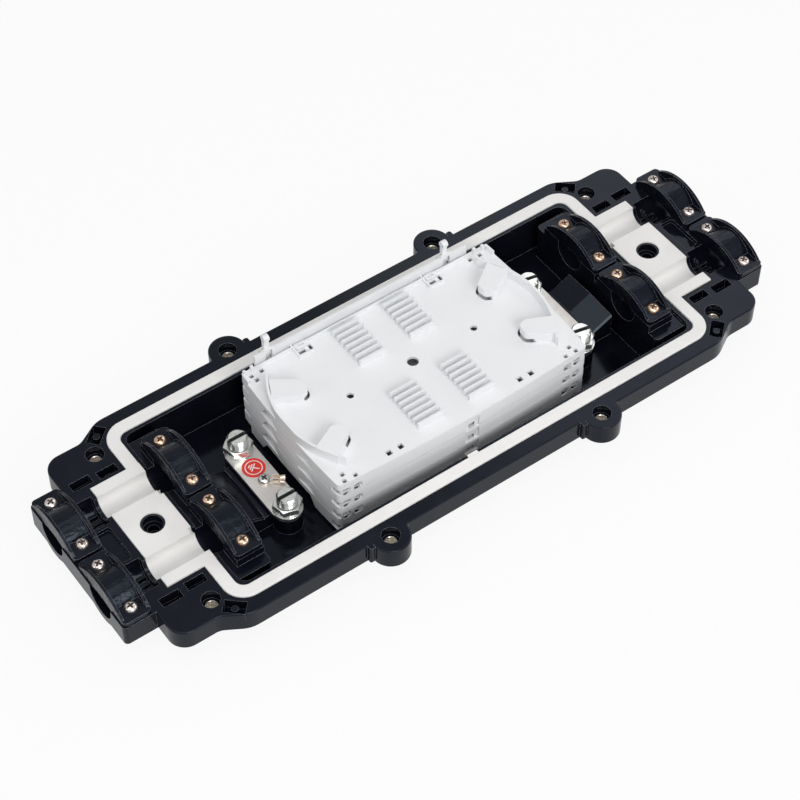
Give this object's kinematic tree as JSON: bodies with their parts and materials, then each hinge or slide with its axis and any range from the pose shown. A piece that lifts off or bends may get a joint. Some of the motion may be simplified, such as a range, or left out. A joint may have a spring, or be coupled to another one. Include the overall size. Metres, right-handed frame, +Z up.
{
  "type": "fibre splice closure",
  "caption": "Lower half of a inline fibre splice closure: black shell with end cable clamps, white perimeter gasket and a hinged stack of splice trays.",
  "frame": {"origin": "middle of the shell's underside, at the foot of the bounding box", "axes": "+X along the length through the cable ends, +Y across it towards the tray hinges, +Z up"},
  "size_m": [0.4286, 0.1784, 0.0622],
  "materials": {
    "shell_black": "glossy moulded",
    "gasket_white": "satin moulded silicone",
    "tray_white": "satin moulded",
    "zinc_bright": "bright zinc plated",
    "bar_steel": "brushed plate",
    "screw_nickel": "nickel plated",
    "screw_yellow_zinc": "yellow zinc plated",
    "insert_brass": "machined, pale",
    "label_red": "printed vinyl",
    "lug_brass": "satin"
  },
  "bodies": {
    "base": {"base_shell": "shell_black", "sealing_gasket": "gasket_white", "outer_clamp_strap_1": "shell_black", "outer_clamp_strap_2": "shell_black", "outer_clamp_strap_3": "shell_black", "outer_clamp_strap_4": "shell_black", "inner_clamp_strap_1": "shell_black", "inner_clamp_strap_2": "shell_black", "inner_clamp_strap_3": "shell_black", "inner_clamp_strap_4": "shell_black", "outer_clamp_screws": "screw_nickel", "inner_clamp_screws": "screw_yellow_zinc", "splice_tray_1": "tray_white", "tray_screws": "screw_yellow_zinc", "strength_bar_left": "bar_steel", "strength_bar_right": "bar_steel", "slotted_studs": "zinc_bright", "stud_nuts": "zinc_bright", "stud_washers": "zinc_bright", "threaded_inserts": "insert_brass", "earth_label": "label_red", "earth_screw": "screw_nickel", "earth_lug": "lug_brass"},
    "tray_2": {"splice_tray_2": "tray_white"},
    "tray_3": {"splice_tray_3": "tray_white"},
    "tray_4": {"splice_tray_4": "tray_white"}
  },
  "joints": [
    {"name": "tray_2_hinge", "type": "hinge", "parent": "base", "child": "tray_2", "pos_m": [0, 0.0502, 0.0294], "axis": [-1, 0, 0], "range_deg": [0, 40]},
    {"name": "tray_3_hinge", "type": "hinge", "parent": "tray_2", "child": "tray_3", "pos_m": [0, 0.0502, 0.0396], "axis": [-1, 0, 0], "range_deg": [0, 40]},
    {"name": "tray_4_hinge", "type": "hinge", "parent": "tray_3", "child": "tray_4", "pos_m": [0, 0.0502, 0.0498], "axis": [-1, 0, 0], "range_deg": [0, 40]}
  ]
}
